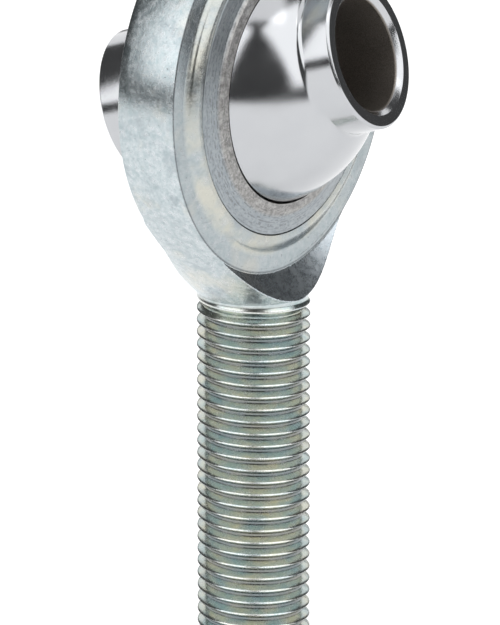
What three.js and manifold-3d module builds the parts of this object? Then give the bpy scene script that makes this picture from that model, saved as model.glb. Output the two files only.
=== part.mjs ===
// High-misalignment male rod end, 3/8 in bore, 3/8-24 left-hand shank.
//
// Millimetres, +Z up. The origin is the centre of the ball. The shank hangs down
// along -Z and the eye of the head lies along Y. The ball sits tilted in its race.
//
// Pieces: rod_end_body, outer_race, race_liner and ball.

import * as THREE from "three";
import { mergeVertices } from "three/addons/utils/BufferGeometryUtils.js";
import Module from "manifold-3d";

const wasm = await Module();
wasm.setup();

// Driving dimensions.
const INCH = 25.4;
const BORE_RADIUS = (0.375 * INCH) / 2;
const THREAD_RADIUS = (0.375 * INCH) / 2;
const THREAD_PITCH = INCH / 24;
const THREAD_START_HEADING = THREE.MathUtils.degToRad(157);
const THREAD_TOP_Z = -0.715 * INCH;
const SHANK_END_Z = -2 * INCH;
const SHANK_CHAMFER = 1;

const HEAD_RADIUS = (1.25 * INCH) / 2;
const HEAD_HALF_THICKNESS = 2.85;
const HEAD_EDGE_BREAK = 0.2;

const BALL_RADIUS = 10.6;
const BALL_HALF_WIDTH = 11.3;
const COLLAR_RADIUS = INCH / 4;
const COLLAR_FILLET = 0.7;
const COLLAR_CHAMFER = 0.2;
const BORE_CHAMFER = 0.5;

// The ball rests tilted: its bore leans up and a little to +X from the eye axis.
const BALL_TILT = THREE.MathUtils.degToRad(18.4);
const BALL_TILT_HEADING = THREE.MathUtils.degToRad(16.5);

const RUNNING_CLEARANCE = 0.05;
const LINER_THICKNESS = 0.35;
const SEAT_GAP = 0.05;
const LINER_INNER_RADIUS = BALL_RADIUS + RUNNING_CLEARANCE;
const LINER_OUTER_RADIUS = LINER_INNER_RADIUS + LINER_THICKNESS;
const LINER_HALF_WIDTH = 4.4;

const RACE_INNER_RADIUS = LINER_OUTER_RADIUS + SEAT_GAP;
const RACE_OUTER_RADIUS = 12.55;
const RACE_EDGE_HALF_WIDTH = 3.5;
const RACE_LIP_HALF_WIDTH = 4.2;

// The rolled lip that holds the race stands proud of each face of the head.
const SEAT_RADIUS = RACE_OUTER_RADIUS + SEAT_GAP;
const LIP_TOP_RADIUS = 13.1;
const LIP_FOOT_RADIUS = 14.5;
const LIP_HALF_WIDTH = 3.5;
const LIP_FILLET = 0.9;
const LIP_FILLET_SWEEP = THREE.MathUtils.degToRad(54);

// The faces of the head run out in a ramp that climbs to the thicker neck.
const FACE_CUT_RADIUS = HEAD_RADIUS + 0.1;
const FACE_CUT_SPREAD = 1.25;

const RING_SEGMENTS = 48;
const SHANK_SEGMENTS = 20;
const ARC_STEP = THREE.MathUtils.degToRad(6);

// Points of an arc about a centre, from one angle to another, both ends included.
function arcPoints(centreX, centreY, radius, from, to) {
  const steps = Math.max(2, Math.ceil(Math.abs(to - from) / ARC_STEP));
  const points = [];
  for (let i = 0; i <= steps; i += 1) {
    const angle = from + ((to - from) * i) / steps;
    const x = centreX + radius * Math.cos(angle);
    const y = centreY + radius * Math.sin(angle);
    points.push(new THREE.Vector2(x, y));
  }
  return points;
}

// Closes a profile that lies at y > 0 with its mirror image.
function mirrored(points) {
  const lower = points.map((point) => new THREE.Vector2(point.x, -point.y));
  return [...lower.reverse(), ...points];
}

// Revolves a profile of (radius, height) points about Y.
function revolve(profile, segments) {
  const closed = profile[0].x > 0 ? [...profile, profile[0].clone()] : profile;
  return new THREE.LatheGeometry(closed, segments);
}

// Revolves a profile of (radius, height) points about Z.
function revolveUpright(profile, segments) {
  return revolve(profile, segments).rotateX(Math.PI / 2);
}

// Turns a closed three.js geometry into a solid that can be cut and joined.
function toSolid(geometry) {
  const bare = new THREE.BufferGeometry();
  bare.setAttribute("position", geometry.getAttribute("position"));
  bare.setIndex(geometry.getIndex());
  const merged = mergeVertices(bare, 1e-5);
  const mesh = new wasm.Mesh({
    numProp: 3,
    vertProperties: new Float32Array(merged.getAttribute("position").array),
    triVerts: new Uint32Array(merged.getIndex().array),
  });
  mesh.merge();
  return new wasm.Manifold(mesh);
}

// Turns a solid back into a three.js geometry.
function toGeometry(solid) {
  const mesh = solid.getMesh();
  const geometry = new THREE.BufferGeometry();
  geometry.setAttribute("position", new THREE.BufferAttribute(mesh.vertProperties, 3));
  geometry.setIndex(new THREE.BufferAttribute(mesh.triVerts, 1));
  return geometry;
}

// The left-hand thread, left a few turns too long at both ends and closed there.
function threadGeometry() {
  const rootRadius = THREAD_RADIUS - 0.6134 * THREAD_PITCH;
  const ridge = [
    { drop: 0, radius: rootRadius },
    { drop: 0.375 * THREAD_PITCH, radius: THREAD_RADIUS },
    { drop: 0.5 * THREAD_PITCH, radius: THREAD_RADIUS },
    { drop: 0.875 * THREAD_PITCH, radius: rootRadius },
  ];
  const topZ = THREAD_TOP_Z + 3 * THREAD_PITCH;
  const turns = Math.ceil((THREAD_TOP_Z - SHANK_END_Z) / THREAD_PITCH) + 6;
  const steps = turns * SHANK_SEGMENTS;
  const rows = ridge.length;

  const positions = [];
  for (let step = 0; step <= steps + SHANK_SEGMENTS; step += 1) {
    const angle = (2 * Math.PI * step) / SHANK_SEGMENTS;
    const startZ = topZ - (THREAD_PITCH * step) / SHANK_SEGMENTS;
    for (const { drop, radius } of ridge) {
      positions.push(radius * Math.cos(angle), radius * Math.sin(angle), startZ - drop);
    }
  }

  // A turn's last row is the first row of the turn below it.
  const vertexAt = (step, row) => (row === rows ? (step + SHANK_SEGMENTS) * rows : step * rows + row);
  const faces = [];
  for (let step = 0; step < steps; step += 1) {
    for (let row = 0; row < rows; row += 1) {
      const upper = vertexAt(step, row);
      const upperNext = vertexAt(step + 1, row);
      const lower = vertexAt(step, row + 1);
      const lowerNext = vertexAt(step + 1, row + 1);
      faces.push(upper, lower, upperNext);
      faces.push(upperNext, lower, lowerNext);
    }
  }

  // Each end closes in a fan, round the open turn and back up its profile.
  const openLoop = (step) => {
    const loop = [];
    for (let i = 0; i < SHANK_SEGMENTS; i += 1) {
      loop.push(vertexAt(step + i, 0));
    }
    for (let row = rows; row > 0; row -= 1) {
      loop.push(vertexAt(step, row));
    }
    return loop;
  };
  const topLoop = openLoop(0);
  const endLoop = openLoop(steps);
  const topHub = positions.length / 3;
  const endHub = topHub + 1;
  positions.push(0, 0, topZ + THREAD_PITCH);
  positions.push(0, 0, topZ - (turns + 2) * THREAD_PITCH);
  for (let i = 0; i < topLoop.length; i += 1) {
    const next = (i + 1) % topLoop.length;
    faces.push(topHub, topLoop[i], topLoop[next]);
    faces.push(endHub, endLoop[next], endLoop[i]);
  }

  const geometry = new THREE.BufferGeometry();
  geometry.setAttribute("position", new THREE.Float32BufferAttribute(positions, 3));
  geometry.setIndex(faces);
  return geometry;
}

// Trims the thread to length and chamfers its end. It stands clear of the crests.
function shankEnvelope() {
  const clearance = 0.3;
  const endRadius = THREAD_RADIUS - SHANK_CHAMFER;
  const radius = THREAD_RADIUS + clearance;
  const topZ = THREAD_TOP_Z + 0.5;
  return revolveUpright(
    [
      new THREE.Vector2(0, SHANK_END_Z),
      new THREE.Vector2(endRadius, SHANK_END_Z),
      new THREE.Vector2(radius, SHANK_END_Z + SHANK_CHAMFER + clearance),
      new THREE.Vector2(radius, topZ),
      new THREE.Vector2(0, topZ),
    ],
    SHANK_SEGMENTS,
  );
}

// The neck: a cone from the shank that runs into the round head at a tangent.
function neckGeometry() {
  const tangentAngle = neckTangentAngle();
  const topRadius = HEAD_RADIUS * Math.sin(tangentAngle);
  const topZ = -HEAD_RADIUS * Math.cos(tangentAngle);
  return revolveUpright(
    [
      new THREE.Vector2(0, THREAD_TOP_Z),
      new THREE.Vector2(THREAD_RADIUS, THREAD_TOP_Z),
      new THREE.Vector2(topRadius, topZ),
      new THREE.Vector2(0, topZ),
    ],
    RING_SEGMENTS,
  );
}

// Angle up from the foot of the head to where a line from the shank touches it.
function neckTangentAngle() {
  const distance = Math.hypot(THREAD_RADIUS, THREAD_TOP_Z);
  const towardsShank = Math.atan2(THREAD_RADIUS, -THREAD_TOP_Z);
  return towardsShank + Math.acos(HEAD_RADIUS / distance);
}

// The head: a ring about the eye axis, with the rolled lip on both faces.
function headGeometry() {
  const faceY = HEAD_HALF_THICKNESS;
  const filletY = faceY + LIP_FILLET;
  const foot = 1.5 * Math.PI;
  const fillet = arcPoints(LIP_FOOT_RADIUS, filletY, LIP_FILLET, foot, foot - LIP_FILLET_SWEEP);
  const upper = [
    new THREE.Vector2(HEAD_RADIUS, faceY - HEAD_EDGE_BREAK),
    new THREE.Vector2(HEAD_RADIUS - HEAD_EDGE_BREAK, faceY),
    ...fillet,
    new THREE.Vector2(LIP_TOP_RADIUS, LIP_HALF_WIDTH),
    new THREE.Vector2(SEAT_RADIUS, LIP_HALF_WIDTH),
  ];
  return revolve(mirrored(upper), RING_SEGMENTS);
}

// Clears one face of the head out to its ramp. The side is -1 or 1 along Y.
function faceCutter(side) {
  const depth = HEAD_RADIUS / 2;
  const outline = [
    new THREE.Vector2(0, 0),
    new THREE.Vector2(FACE_CUT_RADIUS, 0),
    new THREE.Vector2(FACE_CUT_RADIUS + depth * FACE_CUT_SPREAD, depth),
    new THREE.Vector2(0, depth),
  ];
  const cutter = revolve(outline, RING_SEGMENTS);
  cutter.translate(0, HEAD_HALF_THICKNESS, 0);
  if (side < 0) {
    cutter.rotateX(Math.PI);
  }
  return cutter;
}

// Room for the race in the stem, whose neck starts out as a full cone.
function seatCutter() {
  return new THREE.CylinderGeometry(SEAT_RADIUS, SEAT_RADIUS, 30, RING_SEGMENTS);
}

function bodyGeometry() {
  const thread = threadGeometry().rotateZ(THREAD_START_HEADING);
  const shank = toSolid(thread).intersect(toSolid(shankEnvelope()));
  const stem = toSolid(neckGeometry())
    .add(shank)
    .subtract(toSolid(faceCutter(1)))
    .subtract(toSolid(faceCutter(-1)))
    .subtract(toSolid(seatCutter()));
  const head = toSolid(headGeometry());
  return toGeometry(head.add(stem));
}

// A spherical wall of a ring, from one rim to the other.
function sphereWall(radius, halfWidth) {
  const rim = Math.asin(halfWidth / radius);
  return arcPoints(0, 0, radius, rim, -rim);
}

function raceGeometry() {
  const profile = [
    new THREE.Vector2(RACE_OUTER_RADIUS, -RACE_EDGE_HALF_WIDTH),
    new THREE.Vector2(RACE_OUTER_RADIUS, RACE_EDGE_HALF_WIDTH),
    ...sphereWall(RACE_INNER_RADIUS, RACE_LIP_HALF_WIDTH),
  ];
  return revolve(profile, RING_SEGMENTS);
}

function linerGeometry() {
  const profile = [
    ...sphereWall(LINER_OUTER_RADIUS, LINER_HALF_WIDTH).reverse(),
    ...sphereWall(LINER_INNER_RADIUS, LINER_HALF_WIDTH),
  ];
  return revolve(profile, RING_SEGMENTS);
}

// The ball with its extended collars, revolved about Y before it is tilted.
function ballGeometry() {
  const filletX = COLLAR_RADIUS + COLLAR_FILLET;
  const filletReach = BALL_RADIUS + COLLAR_FILLET;
  const filletAngle = Math.acos(filletX / filletReach);
  const filletY = filletReach * Math.sin(filletAngle);
  const endY = BALL_HALF_WIDTH;
  const fillet = arcPoints(filletX, filletY, COLLAR_FILLET, Math.PI + filletAngle, Math.PI);
  const upper = [
    ...arcPoints(0, 0, BALL_RADIUS, ARC_STEP / 2, filletAngle),
    ...fillet.slice(1),
    new THREE.Vector2(COLLAR_RADIUS, endY - COLLAR_CHAMFER),
    new THREE.Vector2(COLLAR_RADIUS - COLLAR_CHAMFER, endY),
    new THREE.Vector2(BORE_RADIUS + BORE_CHAMFER, endY),
    new THREE.Vector2(BORE_RADIUS, endY - BORE_CHAMFER),
  ];
  return revolve(mirrored(upper), RING_SEGMENTS);
}

function addPiece(parent, name, geometry, colour, roughness, metalness) {
  const material = new THREE.MeshStandardMaterial({ color: colour, roughness, metalness });
  const mesh = new THREE.Mesh(geometry, material);
  mesh.name = name;
  parent.add(mesh);
}

// Tilts about the axis square to the eye and to the way that the bore leans.
function tiltedGroup() {
  const group = new THREE.Group();
  const hinge = new THREE.Vector3(Math.cos(BALL_TILT_HEADING), 0, -Math.sin(BALL_TILT_HEADING));
  group.quaternion.setFromAxisAngle(hinge, -BALL_TILT);
  return group;
}

const rodEnd = new THREE.Group();
addPiece(rodEnd, "rod_end_body", bodyGeometry(), 0xaab2b6, 0.35, 0.9);
addPiece(rodEnd, "outer_race", raceGeometry(), 0x8f9296, 0.4, 1);
addPiece(rodEnd, "race_liner", linerGeometry(), 0x6e5a45, 0.85, 0);

const ballMount = tiltedGroup();
addPiece(ballMount, "ball", ballGeometry(), 0xd5d8db, 0.05, 1);
rodEnd.add(ballMount);

export default rodEnd;
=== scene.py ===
"""A high-misalignment rod end: zinc-plated body, steel race, woven liner and chromed ball.

Metres, +Z up. The origin is the ball's centre, the eye lies along Y and the shank hangs along -Z.
"""

import math

import bmesh
import bpy
from mathutils import Matrix, Vector


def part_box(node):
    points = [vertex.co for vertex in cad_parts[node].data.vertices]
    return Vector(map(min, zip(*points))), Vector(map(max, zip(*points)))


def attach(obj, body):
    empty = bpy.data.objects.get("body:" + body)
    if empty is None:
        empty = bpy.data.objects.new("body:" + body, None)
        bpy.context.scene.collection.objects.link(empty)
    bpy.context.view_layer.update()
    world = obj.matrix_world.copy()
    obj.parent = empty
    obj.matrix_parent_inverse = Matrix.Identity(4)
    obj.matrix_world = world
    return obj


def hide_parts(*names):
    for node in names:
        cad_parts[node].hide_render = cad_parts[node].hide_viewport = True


MM = 0.001
INCH = 25.4 * MM

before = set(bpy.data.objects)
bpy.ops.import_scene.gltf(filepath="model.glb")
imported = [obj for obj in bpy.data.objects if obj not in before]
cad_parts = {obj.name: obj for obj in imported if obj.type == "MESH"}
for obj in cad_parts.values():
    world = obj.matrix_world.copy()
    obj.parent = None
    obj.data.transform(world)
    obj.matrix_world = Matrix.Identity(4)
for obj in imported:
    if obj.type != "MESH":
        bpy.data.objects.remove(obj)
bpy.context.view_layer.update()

# Driving dimensions. The head's radius and the shank's end are read from the CAD body in model.glb. The rest
# are the
# CAD model's own sizes, except where a comment says otherwise.
body_low, body_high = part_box("rod_end_body")
HEAD_RADIUS = body_high.z
SHANK_END_Z = body_low.z
LIP_TOP_RADIUS = 13.1 * MM
LIP_FOOT_RADIUS = 14.5 * MM
LIP_HALF_WIDTH = 3.5 * MM
LIP_FILLET = 0.9 * MM
LIP_FILLET_SWEEP = math.radians(54)
HEAD_HALF_THICKNESS = 2.85 * MM
THREAD_RADIUS = 0.375 * INCH / 2
THREAD_PITCH = INCH / 24
THREAD_DEPTH = 0.6134 * THREAD_PITCH
THREAD_TOP_Z = -0.715 * INCH
THREAD_START_HEADING = math.radians(157)
SHANK_CHAMFER = 1 * MM
SEAT_RADIUS = 12.6 * MM
FACE_CUT_RADIUS = HEAD_RADIUS + 0.1 * MM
FACE_CUT_SPREAD = 1.25

BALL_RADIUS = 10.6 * MM
BALL_HALF_WIDTH = 11.3 * MM
COLLAR_RADIUS = INCH / 4
COLLAR_FILLET = 0.7 * MM
COLLAR_CHAMFER = 0.2 * MM
BORE_RADIUS = 0.375 * INCH / 2
BORE_CHAMFER = 0.5 * MM
BALL_TILT = math.radians(18.4)
BALL_TILT_HEADING = math.radians(16.5)

FITTING_GAP = 0.05 * MM
LINER_THICKNESS = 0.35 * MM
LINER_INNER_RADIUS = BALL_RADIUS + FITTING_GAP
LINER_OUTER_RADIUS = LINER_INNER_RADIUS + LINER_THICKNESS
# Shorter than the CAD model's liner, so that the race's lip closes over its edge.
LINER_HALF_WIDTH = 3.85 * MM
RACE_OUTER_RADIUS = 12.55 * MM
RACE_EDGE_HALF_WIDTH = 3.5 * MM
RACE_LIP_HALF_WIDTH = 4.2 * MM

# Fine shape of the race, the rim and the neck, which only this model has.
RACE_LIP_GAP = 0.15 * MM
RACE_STEP_RADIUS = 11.0 * MM
RIM_CROWN = 0.34 * MM
RIM_BACK_DROP = 0.4 * MM
NECK_TOP_Z = -8.5 * MM
NECK_SINK = 0.4 * MM
NECK_SINK_HEIGHT = 2.3 * MM
NECK_FACE_COVER = 0.45 * MM
RAMP_EDGE_SOFTNESS = 0.08 * MM

ROUND_SEGMENTS = 288
SHANK_SEGMENTS = 120
SHANK_ROWS = 18


# Outlines


def arc(centre, radius, start, end, steps):
    """Points of an arc about a centre, from one angle to another, both ends included."""
    points = []
    for i in range(steps + 1):
        angle = start + (end - start) * i / steps
        points.append((centre[0] + radius * math.cos(angle), centre[1] + radius * math.sin(angle)))
    return points


def rounded(corners, steps=5):
    """A closed outline from (radius, height, rounding) corners, with each corner rounded off."""
    outline = []
    for i, (x, y, rounding) in enumerate(corners):
        corner = Vector((x, y))
        if rounding == 0:
            outline.append((x, y))
            continue
        before = (Vector(corners[i - 1][:2]) - corner).normalized()
        after = (Vector(corners[(i + 1) % len(corners)][:2]) - corner).normalized()
        half_angle = before.angle(after) / 2
        reach = rounding / math.tan(half_angle)
        start = corner + before * reach
        end = corner + after * reach
        centre = corner + (before + after).normalized() * rounding / math.sin(half_angle)
        for step in range(steps + 1):
            chord = start.lerp(end, step / steps)
            point = centre + (chord - centre).normalized() * rounding
            outline.append((point.x, point.y))
    return outline


def plain(points):
    """The same points as corners that stay sharp."""
    return [(x, y, 0) for x, y in points]


def mirrored(corners):
    """Adds the mirror image of corners that all lie at height > 0, to close the outline."""
    lower = [(x, -y, rounding) for x, y, rounding in reversed(corners)]
    return lower + corners


# Meshes


def revolved(outline, segments=ROUND_SEGMENTS):
    """Vertices and faces of a closed (radius, height) outline turned about Y."""
    vertices = []
    faces = []
    rows = len(outline)
    for i in range(segments):
        angle = 2 * math.pi * i / segments
        for radius, height in outline:
            vertices.append((radius * math.sin(angle), height, radius * math.cos(angle)))
    for i in range(segments):
        here = i * rows
        there = (i + 1) % segments * rows
        for j in range(rows):
            k = (j + 1) % rows
            faces.append((here + j, here + k, there + k, there + j))
    return vertices, faces


def combined(*parts):
    """Several (vertices, faces) pairs as one."""
    vertices = []
    faces = []
    for part_vertices, part_faces in parts:
        offset = len(vertices)
        vertices.extend(part_vertices)
        faces.extend([tuple(v + offset for v in face) for face in part_faces])
    return vertices, faces


def make_piece(name, geometry, sharp_degrees=32):
    """A smooth-shaded object that keeps its sharp edges."""
    mesh = bpy.data.meshes.new(name)
    mesh.from_pydata(geometry[0], [], geometry[1])
    work = bmesh.new()
    work.from_mesh(mesh)
    bmesh.ops.remove_doubles(work, verts=work.verts, dist=1e-7)
    bmesh.ops.dissolve_degenerate(work, dist=1e-8, edges=work.edges)
    bmesh.ops.recalc_face_normals(work, faces=work.faces)
    work.to_mesh(mesh)
    work.free()
    mesh.shade_smooth()
    mesh.set_sharp_from_angle(angle=math.radians(sharp_degrees))
    piece = bpy.data.objects.new(name, mesh)
    bpy.context.scene.collection.objects.link(piece)
    return piece


def install(piece, node, body, material):
    """Puts a piece in the place of a CAD node."""
    piece.data.materials.append(material)
    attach(piece, body)
    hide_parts(node)


# Body


def share_between(low, high, value):
    """How far a value lies from low to high, held between 0 and 1."""
    return min(1.0, max(0.0, (value - low) / (high - low)))


def smoothstep(low, high, value):
    """The same share, with a soft start and a soft end."""
    t = share_between(low, high, value)
    return t * t * (3 - 2 * t)


def soft_min(a, b, softness):
    """The smaller of two values, with the switch from one to the other rounded off."""
    mix = max(softness - abs(a - b), 0) / softness
    return min(a, b) - mix * mix * softness / 4


def head_geometry():
    """The ring of the head, with a rolled lip on both faces and a rim that is crowned at the back."""
    face = HEAD_HALF_THICKNESS
    foot = 1.5 * math.pi
    fillet_centre = (LIP_FOOT_RADIUS, face + LIP_FILLET)
    fillet = arc(fillet_centre, LIP_FILLET, foot, foot - LIP_FILLET_SWEEP, 10)
    lip_corners = plain(fillet) + [
        (LIP_TOP_RADIUS, LIP_HALF_WIDTH, 0.1 * MM),
        (SEAT_RADIUS, LIP_HALF_WIDTH, 0.05 * MM),
    ]
    front = [(HEAD_RADIUS, face, 0.08 * MM)] + lip_corners
    front = [(x, -y, rounding) for x, y, rounding in reversed(front)]
    crown_steps = 12
    crown = []
    for i in range(crown_steps):
        share = i / crown_steps
        drop = RIM_CROWN * share**2.2
        crown.append((HEAD_RADIUS - drop, face * (2 * share - 0.98), 0))
    back = [(HEAD_RADIUS - RIM_BACK_DROP, face, 0.15 * MM)] + lip_corners
    return revolved(rounded(front + crown + back))


def neck_tangent_angle():
    """Angle from straight down to where the neck's cone touches the round of the head."""
    distance = math.hypot(THREAD_RADIUS, THREAD_TOP_Z)
    return math.atan2(THREAD_RADIUS, -THREAD_TOP_Z) + math.acos(HEAD_RADIUS / distance)


def neck_radius(z):
    """Radius of the neck at a height: a cone, then the round of the head, into which it sinks."""
    angle = neck_tangent_angle()
    tangent_radius = HEAD_RADIUS * math.sin(angle)
    tangent_z = -HEAD_RADIUS * math.cos(angle)
    if z > tangent_z:
        sunk = NECK_SINK * smoothstep(0, NECK_SINK_HEIGHT, z - tangent_z)
        return math.sqrt(HEAD_RADIUS**2 - z**2) - sunk
    share = (z - THREAD_TOP_Z) / (tangent_z - THREAD_TOP_Z)
    return THREAD_RADIUS + (tangent_radius - THREAD_RADIUS) * share


def face_depth(radius):
    """How far from the middle plane the turned face and its ramp lie, at a radius from the eye."""
    past_cover = smoothstep(HEAD_RADIUS - 0.5 * MM, HEAD_RADIUS - 0.4 * MM, radius)
    covered = NECK_FACE_COVER * (1 - past_cover)
    ramp = max(0.0, radius - FACE_CUT_RADIUS) / FACE_CUT_SPREAD
    return HEAD_HALF_THICKNESS + 0.004 * MM - covered + ramp


def neck_geometry():
    """The neck: a cone whose front and back are turned flat, each with a ramp at its foot.

    Its top runs on through the head and the race and ends inside the ball, out of sight at every tilt.
    The CAD model's neck is cut away there, and this one is not.
    """
    rows = 170
    columns = 336
    foot_z = THREAD_TOP_Z - FITTING_GAP
    vertices = []
    for row in range(rows + 1):
        z = foot_z + (NECK_TOP_Z - foot_z) * row / rows
        radius = neck_radius(z)
        for column in range(columns):
            angle = 2 * math.pi * column / columns
            x = radius * math.sin(angle)
            round_depth = abs(radius * math.cos(angle))
            depth = soft_min(round_depth, face_depth(math.hypot(x, z)), RAMP_EDGE_SOFTNESS)
            vertices.append((x, math.copysign(max(depth, 0), -math.cos(angle)), z))
    faces = []
    for row in range(rows):
        for column in range(columns):
            right = (column + 1) % columns
            here = row * columns
            above = here + columns
            faces.append((here + column, here + right, above + right, above + column))
    faces.append(tuple(range(columns)))
    faces.append(tuple(range(rows * columns, (rows + 1) * columns)))
    return vertices, faces


def thread_height(share):
    """Height of the thread, from 0 at the root to 1 at the crest, over one pitch from root to root."""
    from_crest = abs(share - 0.5) * 2
    straight = 1 - share_between(0.06, 0.80, from_crest)
    curved = 1 - smoothstep(0.056, 0.84, from_crest)
    return 0.7 * straight + 0.3 * curved


def shank_point(heading, start_z, share):
    """A point of the thread: faded out at the neck, trimmed by the ramps and chamfered at the end."""
    z = start_z - share * THREAD_PITCH
    fade = 1 - smoothstep(THREAD_TOP_Z - 2.0 * MM, THREAD_TOP_Z + 0.4 * MM, z)
    radius = THREAD_RADIUS - THREAD_DEPTH * (1 - thread_height(share)) * fade
    z = max(z, SHANK_END_Z)
    chamfered = THREAD_RADIUS - SHANK_CHAMFER + z - SHANK_END_Z
    radius = min(radius, chamfered)
    x = radius * math.cos(heading)
    y = radius * math.sin(heading)
    inside_ramp = face_depth(math.hypot(x, z)) - 0.01 * MM
    return x, math.copysign(min(abs(y), inside_ramp), y), z


def shank_faces(steps):
    """Faces of a helical strip whose turns join edge to edge, with both ends capped."""

    def vertex_at(step, row):
        if row == SHANK_ROWS:
            return (step + SHANK_SEGMENTS) * SHANK_ROWS
        return step * SHANK_ROWS + row

    faces = []
    for step in range(steps):
        for row in range(SHANK_ROWS):
            here = (vertex_at(step, row), vertex_at(step, row + 1))
            there = (vertex_at(step + 1, row), vertex_at(step + 1, row + 1))
            faces.append((here[0], here[1], there[1], there[0]))
    first_turn = [vertex_at(i, 0) for i in range(SHANK_SEGMENTS)]
    first_profile = [vertex_at(0, row) for row in range(SHANK_ROWS, 0, -1)]
    faces.append(tuple(first_turn + first_profile))
    faces.append(tuple(vertex_at(steps + i, 0) for i in range(SHANK_SEGMENTS)))
    return faces


def shank_geometry():
    """The left-hand thread, from inside the neck to the shank's end."""
    top_z = THREAD_TOP_Z + 3 * THREAD_PITCH + THREAD_PITCH / 16
    turns = math.ceil((top_z - SHANK_END_Z) / THREAD_PITCH) + 1
    steps = turns * SHANK_SEGMENTS
    vertices = []
    for step in range(steps + SHANK_SEGMENTS + 1):
        heading = THREAD_START_HEADING + 2 * math.pi * step / SHANK_SEGMENTS
        start_z = top_z - THREAD_PITCH * step / SHANK_SEGMENTS
        for row in range(SHANK_ROWS):
            vertices.append(shank_point(heading, start_z, row / SHANK_ROWS))
    return vertices, shank_faces(steps)


# Race, liner and ball


def sphere_wall(radius, half_width, steps=28):
    """The part of a sphere's outline that lies within a half width of its middle."""
    rim = math.asin(half_width / radius)
    return arc((0, 0), radius, rim, -rim, steps)


def race_geometry():
    """The race: a flat-turned outer band, then a lip that closes over the liner's edge."""
    inner_radius = LINER_OUTER_RADIUS + FITTING_GAP
    corners = [
        (RACE_OUTER_RADIUS, RACE_EDGE_HALF_WIDTH, 0.1 * MM),
        (RACE_STEP_RADIUS, RACE_EDGE_HALF_WIDTH + 0.33 * MM, 0.3 * MM),
        (RACE_STEP_RADIUS - 0.3 * MM, RACE_LIP_HALF_WIDTH - 0.16 * MM, 0.15 * MM),
    ]
    lip_radius = BALL_RADIUS + RACE_LIP_GAP
    groove_half_width = LINER_HALF_WIDTH + FITTING_GAP
    lip = sphere_wall(lip_radius, RACE_LIP_HALF_WIDTH)[0]
    step_in = (math.sqrt(lip_radius**2 - groove_half_width**2), groove_half_width)
    groove = sphere_wall(inner_radius, groove_half_width)
    near_side = [lip, step_in]
    far_side = [(x, -y) for x, y in reversed(near_side)]
    outer = [(x, -y, rounding) for x, y, rounding in reversed(corners)] + corners
    return revolved(rounded(outer + plain(near_side + groove + far_side)))


def liner_geometry():
    """A thin ring between two spheres."""
    outer = sphere_wall(LINER_OUTER_RADIUS, LINER_HALF_WIDTH)
    inner = sphere_wall(LINER_INNER_RADIUS, LINER_HALF_WIDTH)
    return revolved(list(reversed(outer)) + inner)


def ball_geometry():
    """The ball with its extended collars and its bore along Y, before it is tilted."""
    fillet_x = COLLAR_RADIUS + COLLAR_FILLET
    reach = BALL_RADIUS + COLLAR_FILLET
    fillet_angle = math.acos(fillet_x / reach)
    fillet_centre = (fillet_x, reach * math.sin(fillet_angle))
    end = BALL_HALF_WIDTH
    just_above_middle = 0.004
    sphere = arc((0, 0), BALL_RADIUS, just_above_middle, fillet_angle, 60)
    hollow = arc(fillet_centre, COLLAR_FILLET, math.pi + fillet_angle, math.pi, 10)
    corners = plain(sphere + hollow[1:]) + [
        (COLLAR_RADIUS, end - COLLAR_CHAMFER, 0.08 * MM),
        (COLLAR_RADIUS - COLLAR_CHAMFER, end, 0.08 * MM),
        (BORE_RADIUS + BORE_CHAMFER, end, 0.08 * MM),
        (BORE_RADIUS, end - BORE_CHAMFER, 0.12 * MM),
    ]
    return revolved(rounded(mirrored(corners)))


def ball_tilt_matrix():
    """Turns the bore from the eye axis to where it rests."""
    hinge = Vector((math.cos(BALL_TILT_HEADING), 0, -math.sin(BALL_TILT_HEADING)))
    return Matrix.Rotation(-BALL_TILT, 4, hinge)


# Materials


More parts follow.
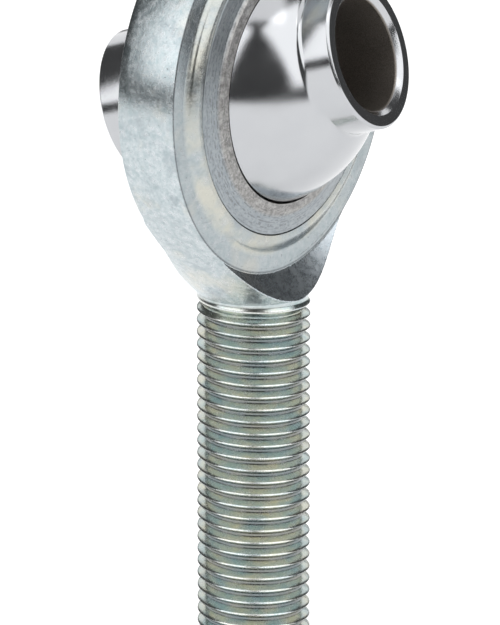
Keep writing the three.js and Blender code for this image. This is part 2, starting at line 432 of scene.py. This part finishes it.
class Shader:
    """A Principled material with a few short ways to add nodes to it."""

    def __init__(self, name, **surface):
        self.material = bpy.data.materials.new(name)
        self.material.use_nodes = True
        self.tree = self.material.node_tree
        self.surface = self.tree.nodes["Principled BSDF"]
        for socket, value in surface.items():
            self.surface.inputs[socket.replace("_", " ").title()].default_value = value

    def node(self, kind, inputs=(), **settings):
        """Adds a node. Inputs are (socket, value or other socket) pairs."""
        node = self.tree.nodes.new(kind)
        for name, value in settings.items():
            setattr(node, name, value)
        for socket, value in inputs:
            self.feed(node.inputs[socket], value)
        return node

    def feed(self, socket, value):
        if isinstance(value, bpy.types.NodeSocket):
            self.tree.links.new(value, socket)
        else:
            socket.default_value = value

    def math(self, operation, *values):
        return self.node("ShaderNodeMath", list(enumerate(values)), operation=operation).outputs[0]

    def millimetres(self, stretch=(1, 1, 1)):
        """The piece's own coordinates in millimetres, stretched along its axes."""
        place = self.node("ShaderNodeTexCoord").outputs["Object"]
        scale = [1000 * s for s in stretch]
        return self.node("ShaderNodeMapping", [("Vector", place), ("Scale", scale)]).outputs[0]

    def noise(self, place, scale, detail=4, roughness=0.55):
        inputs = [("Vector", place), ("Scale", scale), ("Detail", detail), ("Roughness", roughness)]
        return self.node("ShaderNodeTexNoise", inputs).outputs["Fac"]

    def ramp(self, value, low, high, start=0.0, end=1.0):
        """Maps a value from low..high to start..end, held at both ends."""
        inputs = [("Value", value), ("From Min", low), ("From Max", high), ("To Min", start), ("To Max", end)]
        return self.node("ShaderNodeMapRange", inputs).outputs["Result"]

    def mix(self, share, first, second):
        """Blends two colours."""
        inputs = [(0, share), (6, first), (7, second)]
        return self.node("ShaderNodeMix", inputs, data_type="RGBA").outputs[2]

    def height(self, axis):
        """The piece's own coordinate along one axis, in millimetres."""
        return self.node("ShaderNodeSeparateXYZ", [("Vector", self.millimetres())]).outputs[axis]

    def distance_from_line(self, direction):
        """Distance in millimetres from the line through the origin along a unit direction."""
        inputs = [(0, self.millimetres()), (1, direction)]
        cross = self.node("ShaderNodeVectorMath", inputs, operation="CROSS_PRODUCT").outputs[0]
        return self.node("ShaderNodeVectorMath", [(0, cross)], operation="LENGTH").outputs["Value"]

    def hairlines(self, place, scale, width):
        """Sparse fine lines, 1 on a line and 0 off it."""
        offset = self.math("ABSOLUTE", self.math("SUBTRACT", self.noise(place, scale, 2, 0.4), 0.5))
        patches = self.ramp(self.noise(self.millimetres(), 0.6, 2), 0.52, 0.6)
        return self.math("MULTIPLY", self.ramp(offset, 0, width, 1, 0), patches)

    def bump(self, height, strength, distance, below=None):
        inputs = [("Height", height), ("Strength", strength), ("Distance", distance)]
        if below is not None:
            inputs.append(("Normal", below))
        return self.node("ShaderNodeBump", inputs).outputs["Normal"]


def plated_colour(s, place, mottle, clouds, specks, scratches):
    """Blue-grey and mottled, with darker blotches, cream tint patches, specks and scratches."""
    colour = s.mix(s.ramp(mottle, 0.35, 0.68), (0.40, 0.47, 0.49, 1), (0.62, 0.66, 0.68, 1))
    blotches = s.ramp(s.noise(place, 0.5, 7, 0.75), 0.50, 0.64, 0, 0.38)
    colour = s.mix(blotches, colour, (0.25, 0.29, 0.32, 1))
    colour = s.mix(s.ramp(clouds, 0.54, 0.70, 0, 0.45), colour, (0.74, 0.69, 0.58, 1))
    colour = s.mix(specks, colour, (0.16, 0.17, 0.19, 1))
    return s.mix(s.math("MULTIPLY", scratches, 0.5), colour, (0.20, 0.22, 0.24, 1))


def head_colour(s, colour, from_eye, on_face, clouds, grain):
    """Adds a painted cream highlight on the lip, the darker turned face and a darker line along the rim's
    front edge.
    """
    rim = HEAD_RADIUS / MM
    lip_foot = LIP_FOOT_RADIUS / MM
    # Painted highlight: a cream band over the lip's fillet and top, broken up by the clouds noise.
    on_lip = s.math("MULTIPLY", on_face, s.ramp(from_eye, lip_foot - 0.5, lip_foot, 1, 0))
    painted_lip_highlight = s.math("MULTIPLY", on_lip, s.ramp(clouds, 0.40, 0.56, 0, 0.6))
    colour = s.mix(painted_lip_highlight, colour, (0.82, 0.77, 0.62, 1))
    turned_finish = s.math("MULTIPLY", on_face, s.ramp(from_eye, rim - 0.05, rim, 0.38, 0))
    colour = s.mix(turned_finish, colour, (0.20, 0.22, 0.23, 1))
    inside_edge = s.ramp(from_eye, rim - 0.2, rim - 0.08)
    outside_edge = s.ramp(from_eye, rim, rim + 0.05, 1, 0)
    edge_band = s.math("MULTIPLY", inside_edge, outside_edge)
    near_edge = s.math("MULTIPLY", edge_band, on_face)
    # A darker line along the front edge of the rim, varied by the grain noise.
    dark_edge_line = s.math("MULTIPLY", near_edge, s.ramp(grain, 0.3, 0.6, 0.4, 0.9))
    return s.mix(dark_edge_line, colour, (0.10, 0.11, 0.12, 1))


def ramp_mask(s, from_eye, from_middle):
    """1 on the turned ramps of the neck and 0 elsewhere."""
    ramp_start = FACE_CUT_RADIUS / MM
    past_rim = s.math("GREATER_THAN", from_eye, ramp_start)
    rise = s.math("DIVIDE", s.math("SUBTRACT", from_eye, ramp_start), FACE_CUT_SPREAD)
    above_ramp = s.math("SUBTRACT", from_middle, s.math("ADD", rise, HEAD_HALF_THICKNESS / MM))
    return s.math("MULTIPLY", past_rim, s.ramp(above_ramp, -0.07, -0.03))


def thread_colour(s, colour, mottle, grain):
    """Adds the stained flanks, painted shade in the roots and bright crests that are partly worn and partly a
    painted highlight.
    """
    from_shank = s.distance_from_line((0, 0, 1))
    crest = THREAD_RADIUS / MM
    thread_top = THREAD_TOP_Z / MM
    on_thread = s.ramp(s.height("Z"), thread_top - 0.6, thread_top, 1, 0)
    stains = s.noise(s.millimetres((0.5, 0.5, 1.8)), 0.55, 5, 0.65)
    flank = s.mix(s.ramp(stains, 0.40, 0.60), (0.35, 0.47, 0.45, 1), (0.62, 0.60, 0.43, 1))
    flank = s.mix(s.ramp(mottle, 0.35, 0.7, 0, 0.5), flank, (0.48, 0.48, 0.52, 1))
    colour = s.mix(s.math("MULTIPLY", on_thread, 0.7), colour, flank)
    # Painted shade: the roots of the thread are darkened towards near-black, in place of the shade that falls
    # in them.
    painted_root_shade = s.math("MULTIPLY", on_thread, s.ramp(from_shank, crest - 0.65, crest - 0.56, 0.6, 0))
    colour = s.mix(painted_root_shade, colour, (0.07, 0.07, 0.09, 1))
    # The near-white line on the crests is partly wear and partly a painted highlight.
    crest_wear_and_highlight = s.math("MULTIPLY", on_thread, s.ramp(from_shank, crest - 0.07, crest - 0.02, 0, 0.7))
    crest_wear_and_highlight = s.math("MULTIPLY", crest_wear_and_highlight, s.ramp(grain, 0.35, 0.6))
    return s.mix(crest_wear_and_highlight, colour, (0.88, 0.89, 0.91, 1))


def zinc_material():
    """Clear zinc plate on machined steel."""
    s = Shader("zinc_plate", metallic=1.0)
    place = s.millimetres()
    clouds = s.noise(place, 0.22, 5)
    mottle = s.noise(place, 1.7, 6, 0.7)
    grain = s.noise(place, 9.0, 3, 0.6)
    specks = s.ramp(s.noise(place, 3.1, 8, 0.75), 0.60, 0.70, 0, 0.7)
    scratches = s.hairlines(s.millimetres((0.25, 1.0, 1.6)), 0.7, 0.008)
    from_eye = s.distance_from_line((0, 1, 0))
    from_middle = s.math("ABSOLUTE", s.height("Y"))
    face = HEAD_HALF_THICKNESS / MM
    on_face = s.ramp(from_middle, face - 0.06, face - 0.01)
    on_ramp = ramp_mask(s, from_eye, from_middle)

    colour = plated_colour(s, place, mottle, clouds, specks, scratches)
    colour = head_colour(s, colour, from_eye, on_face, clouds, grain)
    colour = s.mix(s.math("MULTIPLY", on_ramp, 0.4), colour, (0.52, 0.57, 0.64, 1))
    s.feed(s.surface.inputs["Base Color"], thread_colour(s, colour, mottle, grain))

    polish = s.ramp(mottle, 0.3, 0.7, 0.17, 0.31)
    machined = s.math("MULTIPLY", on_ramp, 0.04)
    worn = s.math("ADD", s.math("MULTIPLY", specks, 0.3), machined)
    s.feed(s.surface.inputs["Roughness"], s.math("ADD", polish, worn))

    rings = s.math("SINE", s.math("MULTIPLY", from_eye, 26.0))
    fine = s.bump(grain, 0.12, 0.02 * MM)
    lumps = s.bump(mottle, 0.18, 0.06 * MM, fine)
    turned = s.bump(rings, 0.05, 0.004 * MM, lumps)
    s.feed(s.surface.inputs["Normal"], s.bump(scratches, -0.25, 0.02 * MM, turned))
    return s.material


def race_material():
    """Turned bearing steel: smooth blue-grey outer band, rougher lip with ring marks and bright flecks."""
    s = Shader("race_steel", metallic=1.0)
    place = s.millimetres()
    from_eye = s.distance_from_line((0, 1, 0))
    step = RACE_STEP_RADIUS / MM
    on_lip = s.ramp(from_eye, step - 0.2, step + 0.1, 1, 0)
    mottle = s.noise(place, 2.2, 7, 0.7)
    wander = s.math("MULTIPLY", s.noise(place, 0.8, 3), 1.5)
    ring_place = s.node("ShaderNodeCombineXYZ", [("X", from_eye), ("Y", wander)]).outputs[0]
    ring_marks = s.noise(ring_place, 7.0, 5)

    smooth_band = s.mix(s.ramp(mottle, 0.3, 0.7), (0.25, 0.28, 0.30, 1), (0.37, 0.40, 0.42, 1))
    rough_band = s.mix(s.ramp(mottle, 0.35, 0.65), (0.19, 0.185, 0.18, 1), (0.47, 0.465, 0.455, 1))
    colour = s.mix(on_lip, smooth_band, rough_band)
    colour = s.mix(s.ramp(ring_marks, 0.52, 0.60, 0, 0.5), colour, (0.12, 0.12, 0.13, 1))
    flecks = s.math("MULTIPLY", on_lip, s.ramp(s.noise(place, 4.5, 7, 0.8), 0.60, 0.66, 0, 0.5))
    s.feed(s.surface.inputs["Base Color"], s.mix(flecks, colour, (0.86, 0.87, 0.88, 1)))
    s.feed(s.surface.inputs["Roughness"], s.ramp(on_lip, 0, 1, 0.3, 0.42))

    marked = s.bump(ring_marks, 0.45, 0.03 * MM)
    s.feed(s.surface.inputs["Normal"], s.bump(mottle, 0.25, 0.05 * MM, marked))
    return s.material


def liner_material():
    """Woven low-friction liner, seen on its cut edge: dark grey-brown with a fine crossing weave."""
    s = Shader("liner_weave", metallic=0.0, roughness=0.7)
    place = s.millimetres()
    warp_inputs = [("Vector", place), ("Scale", 3.0), ("Distortion", 1.5)]
    warp = s.node("ShaderNodeTexWave", warp_inputs).outputs["Fac"]
    weft_wave = s.node("ShaderNodeTexWave", [("Vector", place), ("Scale", 3.0)], bands_direction="Z")
    weave = s.math("MULTIPLY", warp, weft_wave.outputs["Fac"])
    s.feed(s.surface.inputs["Base Color"], s.mix(weave, (0.03, 0.028, 0.026, 1), (0.10, 0.09, 0.08, 1)))
    s.feed(s.surface.inputs["Normal"], s.bump(weave, 0.5, 0.05 * MM))
    return s.material


def chrome_material():
    """Hard chrome, polished outside with faint smudges and left drawn and brown-grey inside the bore."""
    s = Shader("ball_chrome", metallic=1.0)
    place = s.millimetres()
    smudge = s.noise(place, 0.35, 5, 0.6)
    grain = s.noise(place, 12.0, 6, 0.7)
    polished = s.mix(smudge, (0.45, 0.46, 0.48, 1), (0.51, 0.52, 0.535, 1))

    bore_axis = ball_tilt_matrix() @ Vector((0, -1, 0))
    from_bore_axis = s.distance_from_line(bore_axis)
    bore_wall = BORE_RADIUS / MM
    in_bore = s.ramp(from_bore_axis, bore_wall + 0.05, bore_wall + 0.15, 1, 0)
    drawn = s.mix(s.ramp(grain, 0.35, 0.65), (0.15, 0.135, 0.12, 1), (0.32, 0.29, 0.26, 1))
    s.feed(s.surface.inputs["Base Color"], s.mix(in_bore, polished, drawn))

    gloss = s.ramp(smudge, 0.35, 0.7, 0.10, 0.19)
    s.feed(s.surface.inputs["Roughness"], s.math("ADD", gloss, s.math("MULTIPLY", in_bore, 0.4)))
    s.feed(s.surface.inputs["Normal"], s.bump(grain, 0.2, 0.02 * MM))
    return s.material


def floor_material():
    """Near-white paper that gives off some light of its own."""
    s = Shader("pale_floor", roughness=0.8)
    place = s.millimetres()
    paper = s.noise(place, 0.05, 3)
    s.feed(s.surface.inputs["Base Color"], s.mix(paper, (0.9, 0.9, 0.9, 1), (0.92, 0.92, 0.92, 1)))
    s.surface.inputs["Emission Color"].default_value = (1, 1, 1, 1)
    s.surface.inputs["Emission Strength"].default_value = 0.42
    return s.material


# Studio

CAMERA_AZIMUTH = math.radians(-56.11)
CAMERA_ELEVATION = math.radians(15.85)
CAMERA_DISTANCE = 0.47625
CAMERA_TARGET_ACROSS = -0.3 * MM
CAMERA_TARGET_Z = -20.12 * MM
SENSOR_HEIGHT_MM = 24
LENS_LENGTH_MM = 218.5728

FLOOR_RADIUS = 0.36
WORLD_LIGHT = 0.085
WORLD_SEEN_BY_CAMERA = 1.0


def towards(azimuth, elevation):
    """The direction at an azimuth from -Y towards +X, and an elevation."""
    level = math.cos(elevation)
    return Vector((math.sin(azimuth) * level, -math.cos(azimuth) * level, math.sin(elevation)))


def aim(thing, place, target):
    """Puts a camera or lamp at a place, turned towards a target."""
    thing.location = place
    thing.rotation_euler = (target - place).to_track_quat("-Z", "Y").to_euler()


def add_camera():
    back = towards(CAMERA_AZIMUTH, CAMERA_ELEVATION)
    right = Vector((math.cos(CAMERA_AZIMUTH), math.sin(CAMERA_AZIMUTH), 0))
    target = right * CAMERA_TARGET_ACROSS + Vector((0, 0, CAMERA_TARGET_Z))
    data = bpy.data.cameras.new("camera")
    data.sensor_fit = "VERTICAL"
    data.sensor_height = SENSOR_HEIGHT_MM
    data.lens = LENS_LENGTH_MM
    camera = bpy.data.objects.new("camera", data)
    bpy.context.scene.collection.objects.link(camera)
    aim(camera, target + back * CAMERA_DISTANCE, target)
    bpy.context.scene.camera = camera


def add_softbox(name, azimuth_degrees, elevation_degrees, distance, width, height, power):
    data = bpy.data.lights.new(name, "AREA")
    data.shape = "RECTANGLE"
    data.size = width
    data.size_y = height
    data.energy = power
    lamp = bpy.data.objects.new(name, data)
    lamp.visible_camera = False
    bpy.context.scene.collection.objects.link(lamp)
    direction = towards(math.radians(azimuth_degrees), math.radians(elevation_degrees))
    aim(lamp, direction * distance, Vector((0, 0, 0)))


def add_floor():
    segments = 96
    rim = []
    for i in range(segments):
        angle = 2 * math.pi * i / segments
        x = FLOOR_RADIUS * math.cos(angle)
        y = FLOOR_RADIUS * math.sin(angle)
        rim.append((x, y, SHANK_END_Z))
    mesh = bpy.data.meshes.new("floor")
    mesh.from_pydata(rim, [], [tuple(range(segments))])
    floor = bpy.data.objects.new("floor", mesh)
    bpy.context.scene.collection.objects.link(floor)
    floor.data.materials.append(floor_material())


def add_studio_light():
    add_softbox("left_softbox", -106, 35, 0.7, 0.74, 0.86, 3.4)
    add_softbox("right_softbox", 4, 35, 0.7, 0.74, 0.86, 3.4)
    add_softbox("top_softbox", -50, 88, 0.7, 0.58, 0.58, 1.2)
    add_softbox("back_softbox", 124, 25, 0.9, 0.95, 0.7, 2.4)
    add_world_light()
    bpy.context.scene.view_settings.view_transform = "Standard"


def add_world_light():
    """A white background that lights the object only a little."""
    world = bpy.data.worlds.new("studio")
    bpy.context.scene.world = world
    world.use_nodes = True
    tree = world.node_tree
    background = tree.nodes["Background"]
    seen = tree.nodes.new("ShaderNodeLightPath").outputs["Is Camera Ray"]
    shade = tree.nodes.new("ShaderNodeMapRange")
    shade.inputs["To Min"].default_value = WORLD_LIGHT
    shade.inputs["To Max"].default_value = WORLD_SEEN_BY_CAMERA
    tree.links.new(seen, shade.inputs["Value"])
    tree.links.new(shade.outputs["Result"], background.inputs["Strength"])
    background.inputs["Color"].default_value = (1, 1, 1, 1)


# The object

body = make_piece("body_fine", combined(head_geometry(), neck_geometry(), shank_geometry()))
install(body, "rod_end_body", "housing", zinc_material())

race = make_piece("race_fine", race_geometry())
install(race, "outer_race", "housing", race_material())

liner = make_piece("liner_fine", liner_geometry())
install(liner, "race_liner", "liner", liner_material())

ball = make_piece("ball_fine", ball_geometry(), 50)
ball.data.transform(ball_tilt_matrix())
install(ball, "ball", "ball", chrome_material())

add_floor()
add_studio_light()
add_camera()
